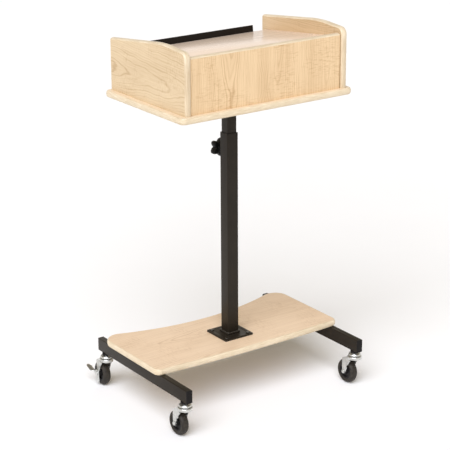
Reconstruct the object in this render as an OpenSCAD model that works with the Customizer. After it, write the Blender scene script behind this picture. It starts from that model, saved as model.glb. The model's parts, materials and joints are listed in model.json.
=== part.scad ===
// Mobile lectern: a sloping worktop between rounded side panels, on a telescoping square column,
// over a low equipment shelf that two steel tube legs carry on four swivel casters.
// +Z is up and Z = 0 is the floor. The audience is on the -Y side and the speaker on the +Y side.

/* [Column] */
// Outside width of the fixed outer tube
outer_w = 38.1; // [34:0.1:45]
// Outside width of the sliding inner tube
inner_w = 31.75; // [28:0.05:33]
// Height of the top end of the outer tube
outer_top = 808.5; // [700:0.5:850]
// Height of the lower end of the inner tube
inner_bottom = 470; // [330:1:560]
// Height of the clamp knob's axis
knob_z = 751; // [650:1:756]

/* [Foot] */
// Length of each leg tube, end caps included
leg_l = 482.6; // [440:0.1:520]
// Width of a leg tube
leg_w = 20; // [18:0.5:25]
// Height of a leg tube
leg_h = 40; // [30:1:45]
// Distance between the outer faces of the two legs
leg_span = 643.8; // [560:0.1:665]
// Height of the underside of the legs
leg_bottom = 116; // [114:0.5:125]

/* [Equipment shelf] */
// Overall width of the shelf
shelf_w = 668; // [660:1:720]
// Distance from the column to the middle of the shelf's front edge
shelf_front = 117; // [95:1:130]
// Distance from the column to the middle of the shelf's hollowed rear edge
shelf_rear = 148; // [130:1:165]
// Radius of the hollow in the shelf's rear edge
rear_hollow_r = 800; // [700:10:1500]

/* [Lectern box] */
// Thickness of every board
board_t = 19; // [16:0.5:22]
// Width of the tray board
tray_w = 597; // [590:1:640]
// Depth of the tray board
tray_d = 406; // [396:1:430]
// Height of the underside of the tray board
tray_bottom = 919.5; // [915:0.5:960]
// Distance between the outer faces of the side panels
box_w = 558.8; // [500:0.1:575]
// Height of a side panel at its rear edge, above the tray
side_rear_h = 153; // [140:1:170]
// Slope of the side panels' top edges
side_slope = 6.8; // [5:0.1:8]
// Height of the front panel above the tray
front_h = 161.5; // [155:0.5:170]
// Height of the worktop's upper surface over the column
worktop_z = 1069.8; // [1065:0.1:1073]
// Slope of the worktop, down towards the speaker
worktop_slope = 6.6; // [4:0.1:8]
// Height of the book stop above the worktop
stop_h = 19.5; // [12:0.5:25]
// Length of the book stop
stop_l = 416; // [300:1:500]

/* [Casters] */
// Diameter of a caster wheel
wheel_d = 76; // [70:1:80]
// Width of a caster tyre
tyre_w = 24; // [20:0.5:25]
// Distance from the swivel axis back to the axle
trail = 32; // [25:0.5:35]
// How far the rear left caster is turned
rear_left_turn = 6; // [-30:1:40]
// Angle between a brake pedal and the floor when the brake is off
pedal_rise = 12; // [8:1:14]

/* [Hidden] */
$fn = 64;

// The column stands a little towards the audience, so that the foot is centred on the origin.
column_y = -28;
free = 0.15;             // clearance round a fastener in its hole
run = 0.07;              // radial clearance of a running fit

// Heights, from the floor up
leg_top = leg_bottom + leg_h;
shelf_top = leg_top + board_t;
plate_t = 5;
plate_top = shelf_top + plate_t;
tray_top = tray_bottom + board_t;

// Column
outer_wall = 2;
inner_wall = 1.6;
outer_r = 2.5;
outer_bore = outer_w - 2 * outer_wall;
bushing_l = 40;
glide_h = 4;
mount_t = 4;
inner_top = tray_bottom - mount_t;
inner_half = inner_w / 2;
base_plate_w = 101.6;
base_bolt_at = 39;
base_bolt_r = 3;
collar_w = 46;
collar_h = 8;

// Clamp
stud_r = 5;
nut_af = 17;
nut_t = 8.5;
pad_r = 4.6;
pad_gap = 0.075;
pad_l = 4;
pad_front = inner_half + pad_gap;
knob_back = 42;
stud_in_knob = 14;
knob_t = 20;
knob_r = 29;
knob_lobes = 5;
knob_turn = 139;

// Foot
leg_wall = 1.6;
leg_r = 2;
cap_t = 1.5;
cap_plug = 12;
leg_x = (leg_span - leg_w) / 2;
stem_front = 218;
stem_rear = 211;
socket_r = 13;
socket_drop = 7;
sleeve_r = 7.5;
stem_r = 5.55;
shelf_screw_y = 80;
shelf_screw_r = 2.4;

// Edges
trim_t = 5;
front_bow_r = 6000;
front_corner_r = 22;
rear_corner_r = 44;
tray_corner_r = 19;

// Plate under the tray
mount_w = 180;
mount_d = 130;
mount_x = 75;
mount_y = 50;

// Lectern box
side_x = box_w / 2;
side_in = side_x - board_t;
side_rear = 194;
side_front = -193.5;
side_blend_y = -35;
side_blend_r = 450;
side_fall = 4;
side_front_r = 22;
side_rear_r = 8;
front_face = -187;
front_back = front_face + board_t;
front_corner = 6;
panel_gap = 0.4;
panel_screw_r = 2.5;
panel_screw_y = [-150, 0, 150];
panel_screw_x = [-180, -60, 60, 180];

// Worktop, in its own sloping frame: half width, and its front and rear edges along the slope
worktop_rear = 165;
work_half = side_in - panel_gap;
slope_front = (front_back + 1.2) / cos(worktop_slope) + board_t * tan(worktop_slope);
slope_rear = worktop_rear / cos(worktop_slope);
cleat_w = 18;
cleat_h = 18;
cleat_setback = [8, 22];
stop_t = 3;
stop_foot = 16;
stop_screw_r = 1.8;
stop_screw_x = [-190, -95, 0, 95, 190];

// Casters
axle_z = wheel_d / 2;
axle_r = 4;
wheel_hub_r = 25;
hub_half = 14;
fork_in = 14.5;
fork_t = 2.5;
fork_out = fork_in + fork_t;
crown_r = 22;
crown_low = 91;
crown_top = 99;
race_r = 19;
race_low = crown_top + 0.6;
race_top = 107;
ball_r = 2;
ball_ring = 13;
ball_z = crown_top + ball_r + 0.05;
balls = 12;
stem_top = leg_bottom + 30;
rivet_r = 6;
rivet_h = 2;
lever_t = 2.2;
lever_gap = 0.4;
lever_in = fork_out + lever_gap;
lever_out = lever_in + lever_t;
pedal_reach = 53;
pedal_w = 20;

steel_black = [0.20, 0.18, 0.16];
maple = [0.90, 0.80, 0.62];
maple_edge = [0.94, 0.86, 0.70];
zinc = [0.80, 0.81, 0.79];
plastic_black = [0.10, 0.10, 0.10];
rubber_grey = [0.16, 0.15, 0.15];

// ---- shared shapes -------------------------------------------------------------------------

// Points along an arc, from one angle to another.
function arc(c, r, from, to, n) =
    [for (i = [0 : n]) c + r * [cos(from + (to - from) * i / n), sin(from + (to - from) * i / n)]];

function mirrored(points) = [for (i = [len(points) - 1 : -1 : 0]) [-points[i].x, points[i].y]];

// A rectangle about the origin with exact round corners.
module round_rect(w, d, r) {
    square([w - 2 * r, d], center = true);
    square([w, d - 2 * r], center = true);
    for (x = [-1, 1], y = [-1, 1])
        translate([x * (w / 2 - r), y * (d / 2 - r)]) circle(r);
}

module square_tube(w, r, wall, low, high) {
    translate([0, 0, low]) linear_extrude(high - low) difference() {
        round_rect(w, w, r);
        round_rect(w - 2 * wall, w - 2 * wall, max(r - wall, 0.6));
    }
}

module cylinder_between(low, high, r) {
    translate([0, 0, low]) cylinder(h = high - low, r = r);
}

// Draws its child at each of the four corners of a rectangle.
module at_corners(x, y) {
    for (i = [-1, 1], j = [-1, 1]) translate([i * x, j * y, 0]) children();
}

// A pan-head screw pointing up, with the underside of its head at Z = 0.
module screw_up(r, l, head_r, head_h) {
    cylinder(h = l, r = r);
    translate([0, 0, -head_h]) cylinder(h = head_h, r = head_r);
}

// Turns a shape drawn in X and Z, and extruded along +Z, to face along X from x to x + t.
module along_x(x, t) {
    translate([x, 0, 0]) rotate([90, 0, 90]) linear_extrude(t) children();
}

// ---- legs and shelf ------------------------------------------------------------------------

module leg(side) {
    color(steel_black) translate([side * leg_x, 0, leg_bottom + leg_h / 2]) difference() {
        rotate([90, 0, 0]) linear_extrude(leg_l - 2 * cap_t, center = true) difference() {
            round_rect(leg_w, leg_h, leg_r);
            round_rect(leg_w - 2 * leg_wall, leg_h - 2 * leg_wall, 0.6);
        }
        for (y = [-stem_front, stem_rear])
            translate([0, y, -leg_h / 2 - 1]) cylinder(h = leg_wall + 2, r = sleeve_r + free);
        for (y = [-shelf_screw_y, shelf_screw_y])
            translate([0, y, -leg_h]) cylinder(h = 2 * leg_h, r = shelf_screw_r + free);
    }
}

module left_leg() { leg(-1); }
module right_leg() { leg(1); }

module leg_end_caps() {
    plug_w = leg_w - 2 * leg_wall - 0.2;
    plug_h = leg_h - 2 * leg_wall - 0.2;
    color(plastic_black) for (x = [-leg_x, leg_x], end = [-1, 1])
        translate([x, end * leg_l / 2, leg_bottom + leg_h / 2]) rotate([end * 90, 0, 0]) {
            linear_extrude(cap_t) round_rect(leg_w, leg_h, leg_r);
            linear_extrude(cap_t + cap_plug) difference() {
                round_rect(plug_w, plug_h, 1);
                round_rect(plug_w - 4, plug_h - 4, 1);
            }
        }
}

module caster_sockets() {
    sleeve_h = leg_h - 8;
    color(plastic_black) for (x = [-leg_x, leg_x], y = [-stem_front, stem_rear])
        translate([x, y, 0]) difference() {
            union() {
                translate([0, 0, leg_bottom - socket_drop])
                    cylinder(h = socket_drop, r = socket_r);
                translate([0, 0, leg_bottom]) cylinder(h = sleeve_h, r = sleeve_r);
            }
            translate([0, 0, leg_bottom - socket_drop - 1])
                cylinder(h = sleeve_h + socket_drop + 2, r = stem_r + free);
        }
}

// Outline of the shelf, drawn in by the given amount: a slow bow in front and a hollow behind.
function shelf_outline(inset) =
    let (
        x = shelf_w / 2,
        bow = [0, front_bow_r - shelf_front],
        hollow = [0, shelf_rear + rear_hollow_r],
        fx = x - front_corner_r,
        front = [fx, bow.y - sqrt(pow(front_bow_r - front_corner_r, 2) - pow(fx, 2))],
        rx = x - rear_corner_r,
        rear = [rx, hollow.y - sqrt(pow(rear_hollow_r + rear_corner_r, 2) - pow(rx, 2))],
        front_angle = atan2(front.y - bow.y, front.x),
        rear_angle = atan2(rear.y - hollow.y, rear.x),
        right = concat(
            arc(bow, front_bow_r - inset, -90, front_angle, 12),
            arc(front, front_corner_r - inset, front_angle, 0, 12),
            arc(rear, rear_corner_r - inset, 0, rear_angle + 180, 14),
            arc(hollow, rear_hollow_r + inset, rear_angle, -90, 24)
        )
    )
    concat(right, mirrored(right));

module base_shelf() {
    color(maple) translate([0, 0, leg_top]) difference() {
        linear_extrude(board_t) polygon(shelf_outline(trim_t));
        at_corners(base_bolt_at, base_bolt_at)
            translate([0, 0, -1]) cylinder(h = board_t + 2, r = base_bolt_r + free);
        at_corners(leg_x, shelf_screw_y)
            translate([0, 0, -1]) cylinder(h = board_t - 4, r = shelf_screw_r + free);
    }
}

module shelf_edge_trim() {
    color(maple_edge) translate([0, 0, leg_top]) linear_extrude(board_t) difference() {
        polygon(shelf_outline(0));
        polygon(shelf_outline(trim_t));
    }
}

module shelf_screws() {
    color(zinc) at_corners(leg_x, shelf_screw_y)
        translate([0, 0, leg_bottom]) screw_up(shelf_screw_r, leg_h + board_t - 6, 4.5, 2.5);
}

// ---- column --------------------------------------------------------------------------------

module base_plate() {
    color(steel_black) translate([0, 0, shelf_top]) difference() {
        linear_extrude(plate_t) round_rect(base_plate_w, base_plate_w, 3);
        at_corners(base_bolt_at, base_bolt_at)
            translate([0, 0, -1]) cylinder(h = plate_t + 2, r = base_bolt_r + free);
    }
}

module column_foot_collar() {
    color(steel_black) translate([0, 0, plate_top]) linear_extrude(collar_h) difference() {
        round_rect(collar_w, collar_w, 4);
        round_rect(outer_w, outer_w, outer_r);
    }
}

module base_bolts() {
    color(steel_black) at_corners(base_bolt_at, base_bolt_at) {
        translate([0, 0, plate_top]) cylinder(h = 2.5, r = 6);
        cylinder_between(leg_top - 12, plate_top, base_bolt_r);
    }
}

module base_nuts() {
    color(zinc) at_corners(base_bolt_at, base_bolt_at) translate([0, 0, leg_top - 3]) difference() {
        union() {
            translate([0, 0, -1.6]) cylinder(h = 1.6, r = 7);
            translate([0, 0, -6.8]) cylinder(h = 5.2, r = 5.8, $fn = 6);
        }
        translate([0, 0, -8]) cylinder(h = 9, r = base_bolt_r + free);
    }
}

module backing_plate() {
    color(steel_black) translate([0, 0, leg_top - 3]) difference() {
        linear_extrude(3) round_rect(base_plate_w, base_plate_w, 3);
        at_corners(base_bolt_at, base_bolt_at)
            translate([0, 0, -1]) cylinder(h = 5, r = base_bolt_r + free);
    }
}

module column_outer_tube() {
    color(steel_black) difference() {
        square_tube(outer_w, outer_r, outer_wall, plate_top, outer_top);
        translate([0, outer_w / 2 + 1, knob_z]) rotate([90, 0, 0])
            cylinder(h = outer_wall + 2, r = stud_r + run);
    }
}

module guide_bushing() {
    color(plastic_black) square_tube(outer_bore, 0.6, (outer_bore - inner_w - 0.2) / 2,
                                     outer_top - bushing_l, outer_top);
}

module clamp_nut() {
    color(steel_black) translate([0, outer_w / 2 + nut_t, knob_z]) rotate([90, 0, 0]) difference() {
        cylinder(h = nut_t, r = nut_af / sqrt(3), $fn = 6);
        translate([0, 0, -1]) cylinder(h = nut_t + 2, r = stud_r + run);
    }
}

module clamp_pad() {
    color(plastic_black) translate([0, pad_front, knob_z]) rotate([-90, 0, 0])
        cylinder(h = pad_l, r = pad_r);
}

module clamp_stud() {
    tip = pad_front + pad_l;
    color(zinc) translate([0, tip, knob_z]) rotate([-90, 0, 0])
        cylinder(h = knob_back + stud_in_knob - tip, r = stud_r);
}

module clamp_knob() {
    lobe_r = 9;
    boss_l = 9;
    boss_r = 11;
    color(plastic_black) translate([0, knob_back, knob_z]) difference() {
        union() {
            rotate([90, 0, 0]) translate([0, 0, -knob_t]) linear_extrude(knob_t) {
                circle(knob_r * 0.64);
                for (i = [0 : knob_lobes - 1]) rotate(knob_turn + i * 360 / knob_lobes) {
                    translate([knob_r - lobe_r, 0]) circle(lobe_r);
                    translate([0, -lobe_r * 0.8]) square([knob_r - lobe_r, lobe_r * 1.6]);
                }
            }
            rotate([90, 0, 0]) cylinder(h = boss_l, r = boss_r);
        }
        rotate([-90, 0, 0]) translate([0, 0, -boss_l - 1])
            cylinder(h = boss_l + 1 + stud_in_knob, r = stud_r);
    }
}

module column_inner_tube() {
    color(steel_black) square_tube(inner_w, 2, inner_wall, inner_bottom, inner_top);
}

module inner_tube_glide() {
    plug = inner_w - 2 * inner_wall - 0.2;
    color(plastic_black) difference() {
        union() {
            translate([0, 0, inner_bottom - glide_h]) linear_extrude(glide_h)
                round_rect(outer_bore - 0.3, outer_bore - 0.3, 1);
            translate([0, 0, inner_bottom]) linear_extrude(18) round_rect(plug, plug, 1);
        }
        translate([0, 0, inner_bottom]) linear_extrude(20) round_rect(plug - 5, plug - 5, 1);
    }
}

// ---- lectern box ---------------------------------------------------------------------------

module tray_mount_plate() {
    color(steel_black) translate([0, 0, inner_top]) difference() {
        linear_extrude(mount_t) round_rect(mount_w, mount_d, 6);
        at_corners(mount_x, mount_y)
            translate([0, 0, -1]) cylinder(h = mount_t + 2, r = panel_screw_r + free);
    }
}

module mount_screws() {
    color(zinc) at_corners(mount_x, mount_y)
        translate([0, 0, inner_top]) screw_up(panel_screw_r, mount_t + 14, 5, 2.5);
}

// Where the screws rise through the tray into the panels that stand on it.
module at_panel_screws() {
    for (x = [-1, 1], y = panel_screw_y)
        translate([x * (side_x - board_t / 2), y, tray_bottom]) children();
    for (x = panel_screw_x)
        translate([x, front_face + board_t / 2, tray_bottom]) children();
}

module panel_screw_holes() {
    at_panel_screws() translate([0, 0, -1]) cylinder(h = 51, r = panel_screw_r + free);
}

module tray_board() {
    color(maple) difference() {
        translate([0, 0, tray_bottom]) linear_extrude(board_t)
            round_rect(tray_w - 2 * trim_t, tray_d - 2 * trim_t, tray_corner_r - trim_t);
        panel_screw_holes();
        at_corners(mount_x, mount_y)
            translate([0, 0, tray_bottom - 1]) cylinder(h = 16, r = panel_screw_r + free);
    }
}

module tray_edge_trim() {
    color(maple_edge) translate([0, 0, tray_bottom]) linear_extrude(board_t) difference() {
        round_rect(tray_w, tray_d, tray_corner_r);
        round_rect(tray_w - 2 * trim_t, tray_d - 2 * trim_t, tray_corner_r - trim_t);
    }
}

module panel_screws() {
    color(zinc) at_panel_screws() screw_up(panel_screw_r, 48, 5, 2.5);
}

// Side panel outline in Y and Z, drawn in by the given amount except along the tray. The top edge
// climbs from the rear, turns over slowly and ends in a round front corner.
function side_outline(inset) =
    let (
        rear_z = tray_top + side_rear_h,
        turn = [side_blend_y, rear_z + (side_rear - side_blend_y) * tan(side_slope)],
        blend = turn - side_blend_r * [sin(side_slope), cos(side_slope)],
        fall_from = blend + side_blend_r * [-sin(side_fall), cos(side_fall)],
        front_y = side_front + side_front_r,
        front_z = fall_from.y + (front_y - fall_from.x) * tan(side_fall)
                - side_front_r / cos(side_fall),
        back_y = side_rear - side_rear_r,
        back_z = rear_z + side_rear_r * tan(side_slope) - side_rear_r / cos(side_slope)
    )
    concat(
        [[side_rear - inset, tray_top]],
        arc([back_y, back_z], side_rear_r - inset, 0, 90 - side_slope, 8),
        arc(blend, side_blend_r - inset, 90 - side_slope, 90 + side_fall, 12),
        arc([front_y, front_z], side_front_r - inset, 90 + side_fall, 180, 12),
        [[side_front + inset, tray_top]]
    );

module side_panel(x) {
    color(maple) difference() {
        along_x(x, board_t) polygon(side_outline(trim_t));
        panel_screw_holes();
    }
}

module panel_trim(x) {
    color(maple_edge) along_x(x, board_t) difference() {
        polygon(side_outline(0));
        polygon(side_outline(trim_t));
    }
}

module left_side_panel() { side_panel(-side_x); }
module right_side_panel() { side_panel(side_in); }
module left_panel_trim() { panel_trim(-side_x); }
module right_panel_trim() { panel_trim(side_in); }

// Front panel outline in X and Z, drawn in by the given amount except along the tray.
module front_outline(inset) {
    half = side_in - panel_gap - inset;
    top = tray_top + front_h - inset;
    r = front_corner - inset;
    translate([-half, tray_top]) square([2 * half, top - tray_top - r]);
    translate([-half + r, tray_top]) square([2 * (half - r), top - tray_top]);
    for (x = [-1, 1]) translate([x * (half - r), top - r]) circle(r);
}

module front_panel() {
    color(maple) difference() {
        translate([0, front_back, 0]) rotate([90, 0, 0]) linear_extrude(board_t)
            front_outline(trim_t);
        panel_screw_holes();
    }
}

module front_panel_trim() {
    color(maple_edge) translate([0, front_back, 0]) rotate([90, 0, 0]) linear_extrude(board_t)
        difference() {
            front_outline(0);
            front_outline(trim_t);
        }
}

// Draws its child in the worktop's frame: X across, Y along the slope, Z out of the surface.
module on_worktop() {
    translate([0, 0, worktop_z]) rotate([-worktop_slope, 0, 0]) children();
}

module worktop() {
    color(maple) on_worktop() difference() {
        translate([-work_half, slope_front, -board_t])
            cube([2 * work_half, slope_rear - slope_front, board_t]);
        for (x = stop_screw_x) translate([x, slope_rear + 1, -board_t / 2]) rotate([90, 0, 0])
            cylinder(h = 22, r = stop_screw_r + free);
    }
}

module worktop_cleats() {
    start = slope_front + cleat_setback[0];
    end = slope_rear - cleat_setback[1];
    color(maple) on_worktop() for (x = [-work_half, work_half - cleat_w])
        translate([x, start, -board_t - cleat_h]) cube([cleat_w, end - start, cleat_h]);
}

// An angle section: the upright stands on the worktop's rear edge and the foot turns in below it.
module book_stop() {
    color(plastic_black) on_worktop() difference() {
        union() {
            translate([-stop_l / 2, slope_rear, -board_t - stop_t])
                cube([stop_l, stop_t, board_t + stop_t + stop_h]);
            translate([-stop_l / 2, slope_rear - stop_foot, -board_t - stop_t])
                cube([stop_l, stop_foot, stop_t]);
        }
        for (x = stop_screw_x) translate([x, slope_rear + stop_t + 1, -board_t / 2])
            rotate([90, 0, 0]) cylinder(h = stop_t + 2, r = stop_screw_r + free);
    }
}

module book_stop_screws() {
    color(plastic_black) on_worktop() for (x = stop_screw_x)
        translate([x, slope_rear + stop_t, -board_t / 2]) rotate([90, 0, 0])
            screw_up(stop_screw_r, stop_t + 18, 3.6, 1.8);
}

// ---- casters -------------------------------------------------------------------------------
// Each is drawn about its own swivel axis, trailing towards +Y, and then put in its place.

module at_caster(side, y, turn = 0) {
    translate([side * leg_x, y, 0]) rotate(-turn) children();
}

module front_left() { at_caster(-1, -stem_front) children(); }
module front_right() { at_caster(1, -stem_front) children(); }
module rear_left() { at_caster(-1, stem_rear, rear_left_turn) children(); }
module rear_right() { at_caster(1, stem_rear) children(); }

// Draws its child with its Z axis along the axle, from the caster's left (-X) to its right.
module on_axle() {
    translate([0, trail, axle_z]) rotate([0, 90, 0]) children();
}

// The stem, its ball race and the head that keeps the fork on: one turned shape.
module caster_stem() {
    keeper_low = crown_low + 2.6;
    keeper_h = 2.6;
    keeper_r = 9;
    neck_r = 8;
    step = 2;
    mouth = 2.4;
    color(zinc) difference() {
        union() {
            cylinder_between(keeper_low, stem_top, stem_r);
            cylinder_between(keeper_low, keeper_low + keeper_h, keeper_r);
            cylinder_between(race_low, race_top - step, race_r);
            cylinder_between(race_top - step, race_top, race_r - 3);
            cylinder_between(race_top, leg_bottom - socket_drop, neck_r);
        }
        translate([0, 0, ball_z]) rotate_extrude() translate([ball_ring, 0])
            circle(ball_r + free);
        translate([0, 0, race_low - 1]) rotate_extrude() translate([ball_ring - mouth / 2, 0])
            square([mouth, 2]);
    }
}

module ball_set() {
    for (i = [0 : balls - 1]) rotate(i * 360 / balls)
        translate([ball_ring, 0, ball_z]) sphere(ball_r);
}

module caster_ball_sets() {
    color(zinc) {
        front_left() ball_set();
        front_right() ball_set();
        rear_left() ball_set();
        rear_right() ball_set();
    }
}

// A pressed steel fork: a round crown with a short skirt in front, and two tapered legs.
module caster_fork() {
    plate_low = crown_top - fork_t;
    skirt_to = 8;
    color(zinc) difference() {
        union() {
            intersection() {
                cylinder_between(crown_low, crown_top, crown_r);
                translate([-crown_r, -crown_r, 0])
                    cube([2 * crown_r, crown_r + skirt_to, crown_top]);
            }
            cylinder_between(plate_low, crown_top, crown_r);
            translate([-fork_out, 0, plate_low]) cube([2 * fork_out, trail, fork_t]);
            for (x = [-fork_out, fork_in]) along_x(x, fork_t) fork_leg();
        }
        cylinder_between(crown_low - 1, plate_low, crown_r - fork_t);
        translate([0, 0, plate_low - 1]) cylinder(h = fork_t + 2, r = stem_r + run);
        on_axle() cylinder(h = 80, r = axle_r + free, center = true);
    }
}

// One fork leg in Y and Z: from the crown it narrows down to a round end about the axle.
module fork_leg() {
    tip_r = 8;
    root = -12;
    bend = [trail - 15, axle_z + 30];
    throat = [6, crown_low - 4];
    polygon([
        [root, crown_top], [trail, crown_top], [trail + tip_r, axle_z],
        [trail - tip_r, axle_z], bend, throat, [root, crown_low]
    ]);
    translate([trail, axle_z]) circle(tip_r);
}

// A rivet axle. With a brake its left end is longer, to carry the lever.
module caster_axle(braked) {
    left = braked ? lever_out + 0.3 : fork_out;
    color(zinc) on_axle() {
        translate([0, 0, -left]) cylinder(h = left + fork_out, r = axle_r);
        translate([0, 0, -left - rivet_h]) cylinder(h = rivet_h, r = rivet_r);
        translate([0, 0, fork_out]) cylinder(h = rivet_h, r = rivet_r);
    }
}

// The hub: a rim and a boss, joined by a web with a recess on each side of it.
module caster_hub() {
    rim_w = tyre_w - 4;
    rim_t = 4;
    web_t = 8;
    boss_r = 10;
    color(plastic_black) on_axle() difference() {
        union() {
            cylinder(h = rim_w, r = wheel_hub_r, center = true);
            cylinder(h = 2 * hub_half, r = boss_r, center = true);
        }
        for (side = [0, 180]) rotate([side, 0, 0]) translate([0, 0, web_t / 2]) difference() {
            cylinder(h = rim_w, r = wheel_hub_r - rim_t);
            translate([0, 0, -1]) cylinder(h = rim_w + 2, r = boss_r);
        }
        cylinder(h = 4 * hub_half, r = axle_r + run, center = true);
    }
}

// The tyre's section: flat sides, a softly crowned tread and round shoulders.
module caster_tyre() {
    half = tyre_w / 2;
    shoulder = 7;
    crown = 1.2;
    edge_r = axle_z - crown - shoulder;
    tread_half = half - shoulder;
    bow_r = (pow(tread_half, 2) + pow(crown, 2)) / (2 * crown);
    bow_a = asin(tread_half / bow_r);
    color(rubber_grey) on_axle() rotate_extrude($fn = 96) polygon(concat(
        [[wheel_hub_r, -half]],
        arc([edge_r, -tread_half], shoulder, -90, -bow_a, 8),
        arc([axle_z - bow_r, 0], bow_r, -bow_a, bow_a, 8),
        arc([edge_r, tread_half], shoulder, bow_a, 90, 8),
        [[wheel_hub_r, half]]
    ));
}

// A pressed lever on the axle, outside the left fork leg: an upright plate with a lobe below the
// axle, and a foot pedal that reaches out behind the wheel.
module brake_lever() {
    eye_r = 12;
    lobe_r = 11;
    lobe = [-2, -17];
    web = [-5, 4];
    pedal_from = 6;
    tip_r = pedal_w / 2;
    color(zinc) translate([0, trail, axle_z]) difference() {
        union() {
            along_x(-lever_out, lever_t) {
                circle(eye_r);
                translate(lobe) circle(lobe_r);
                polygon([[lobe.x - 8, lobe.y], [-eye_r + 1, 0], [eye_r - 1, 0], [lobe.x + 10, lobe.y]]);
                rotate(pedal_rise) translate([0, web[0]])
                    square([pedal_reach - tip_r, web[1] - web[0]]);
            }
            rotate([pedal_rise, 0, 0]) translate([-lever_in - pedal_w, 0, web[1] - lever_t]) {
                translate([0, pedal_from, 0])
                    cube([pedal_w, pedal_reach - pedal_from - tip_r, lever_t]);
                translate([tip_r, pedal_reach - tip_r, 0]) cylinder(h = lever_t, r = tip_r);
            }
        }
        rotate([0, 90, 0]) cylinder(h = 80, r = axle_r + run, center = true);
    }
}

module front_left_stem() { front_left() caster_stem(); }
module front_right_stem() { front_right() caster_stem(); }
module rear_left_stem() { rear_left() caster_stem(); }
module rear_right_stem() { rear_right() caster_stem(); }
module front_left_fork() { front_left() caster_fork(); }
module front_right_fork() { front_right() caster_fork(); }
module rear_left_fork() { rear_left() caster_fork(); }
module rear_right_fork() { rear_right() caster_fork(); }
module front_left_axle() { front_left() caster_axle(false); }
module front_right_axle() { front_right() caster_axle(false); }
module rear_left_axle() { rear_left() caster_axle(true); }
module rear_right_axle() { rear_right() caster_axle(true); }
module front_left_hub() { front_left() caster_hub(); }
module front_right_hub() { front_right() caster_hub(); }
module rear_left_hub() { rear_left() caster_hub(); }
module rear_right_hub() { rear_right() caster_hub(); }
module front_left_tyre() { front_left() caster_tyre(); }
module front_right_tyre() { front_right() caster_tyre(); }
module rear_left_tyre() { rear_left() caster_tyre(); }
module rear_right_tyre() { rear_right() caster_tyre(); }
module rear_left_brake_lever() { rear_left() brake_lever(); }
module rear_right_brake_lever() { rear_right() brake_lever(); }

// ---- assembly ------------------------------------------------------------------------------

module placed() { translate([0, column_y, 0]) children(); }

placed() left_leg();
placed() right_leg();
placed() leg_end_caps();
placed() caster_sockets();
placed() base_shelf();
placed() shelf_edge_trim();
placed() shelf_screws();
placed() base_plate();
placed() column_foot_collar();
placed() base_bolts();
placed() base_nuts();
placed() backing_plate();
placed() column_outer_tube();
placed() guide_bushing();
placed() clamp_nut();
placed() clamp_pad();
placed() clamp_stud();
placed() clamp_knob();
placed() column_inner_tube();
placed() inner_tube_glide();
placed() tray_mount_plate();
placed() mount_screws();
placed() tray_board();
placed() tray_edge_trim();
placed() left_side_panel();
placed() right_side_panel();
placed() left_panel_trim();
placed() right_panel_trim();
placed() front_panel();
placed() front_panel_trim();
placed() worktop();
placed() worktop_cleats();
placed() book_stop();
placed() book_stop_screws();
placed() panel_screws();
placed() caster_ball_sets();
placed() front_left_stem();
placed() front_right_stem();
placed() rear_left_stem();
placed() rear_right_stem();
placed() front_left_fork();
placed() front_right_fork();
placed() rear_left_fork();
placed() rear_right_fork();
placed() front_left_axle();
placed() front_right_axle();
placed() rear_left_axle();
placed() rear_right_axle();
placed() front_left_hub();
placed() front_right_hub();
placed() rear_left_hub();
placed() rear_right_hub();
placed() front_left_tyre();
placed() front_right_tyre();
placed() rear_left_tyre();
placed() rear_right_tyre();
placed() rear_left_brake_lever();
placed() rear_right_brake_lever();
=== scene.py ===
"""A mobile lectern: maple-laminate box on a telescoping square column, over a shelf on casters.

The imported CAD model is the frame. Boards keep their CAD cores and get rounded edge bands, steel
parts are the CAD shapes with their edges eased, and the casters' pressed, turned and moulded
pieces and the clamp's knob are built here. -Y is the audience's side and Z = 0 is the floor.
"""

import json
import math

import bmesh
import bpy
from mathutils import Matrix, Vector


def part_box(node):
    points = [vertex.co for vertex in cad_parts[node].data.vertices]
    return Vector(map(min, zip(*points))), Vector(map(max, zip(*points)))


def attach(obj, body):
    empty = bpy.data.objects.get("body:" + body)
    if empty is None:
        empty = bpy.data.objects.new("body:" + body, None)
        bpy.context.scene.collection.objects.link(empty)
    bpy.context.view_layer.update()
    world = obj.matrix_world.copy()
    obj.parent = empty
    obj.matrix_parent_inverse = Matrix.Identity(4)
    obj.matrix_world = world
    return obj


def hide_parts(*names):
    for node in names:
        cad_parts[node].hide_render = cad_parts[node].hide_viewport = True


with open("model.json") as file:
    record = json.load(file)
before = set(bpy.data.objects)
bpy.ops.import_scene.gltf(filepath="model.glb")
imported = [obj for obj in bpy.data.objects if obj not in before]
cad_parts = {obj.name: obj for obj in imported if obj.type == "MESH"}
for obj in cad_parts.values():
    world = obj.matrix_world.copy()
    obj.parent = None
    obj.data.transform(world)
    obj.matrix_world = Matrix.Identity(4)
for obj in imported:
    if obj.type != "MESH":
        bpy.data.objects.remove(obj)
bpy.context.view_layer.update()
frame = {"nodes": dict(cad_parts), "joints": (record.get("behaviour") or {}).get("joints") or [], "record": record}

MM = 0.001
TAU = 2 * math.pi
SHARP = math.radians(40)  # eased CAD shapes shade smoothly over edges softer than this
CASTERS = ["front_left", "front_right", "rear_left", "rear_right"]
BODY_OF = {
    node: body
    for body, nodes in frame["record"]["behaviour"]["bodies"].items()
    for node in nodes
}
JOINTS = {joint["name"]: joint for joint in frame["joints"]}


# ---- materials ------------------------------------------------------------------------------


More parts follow.
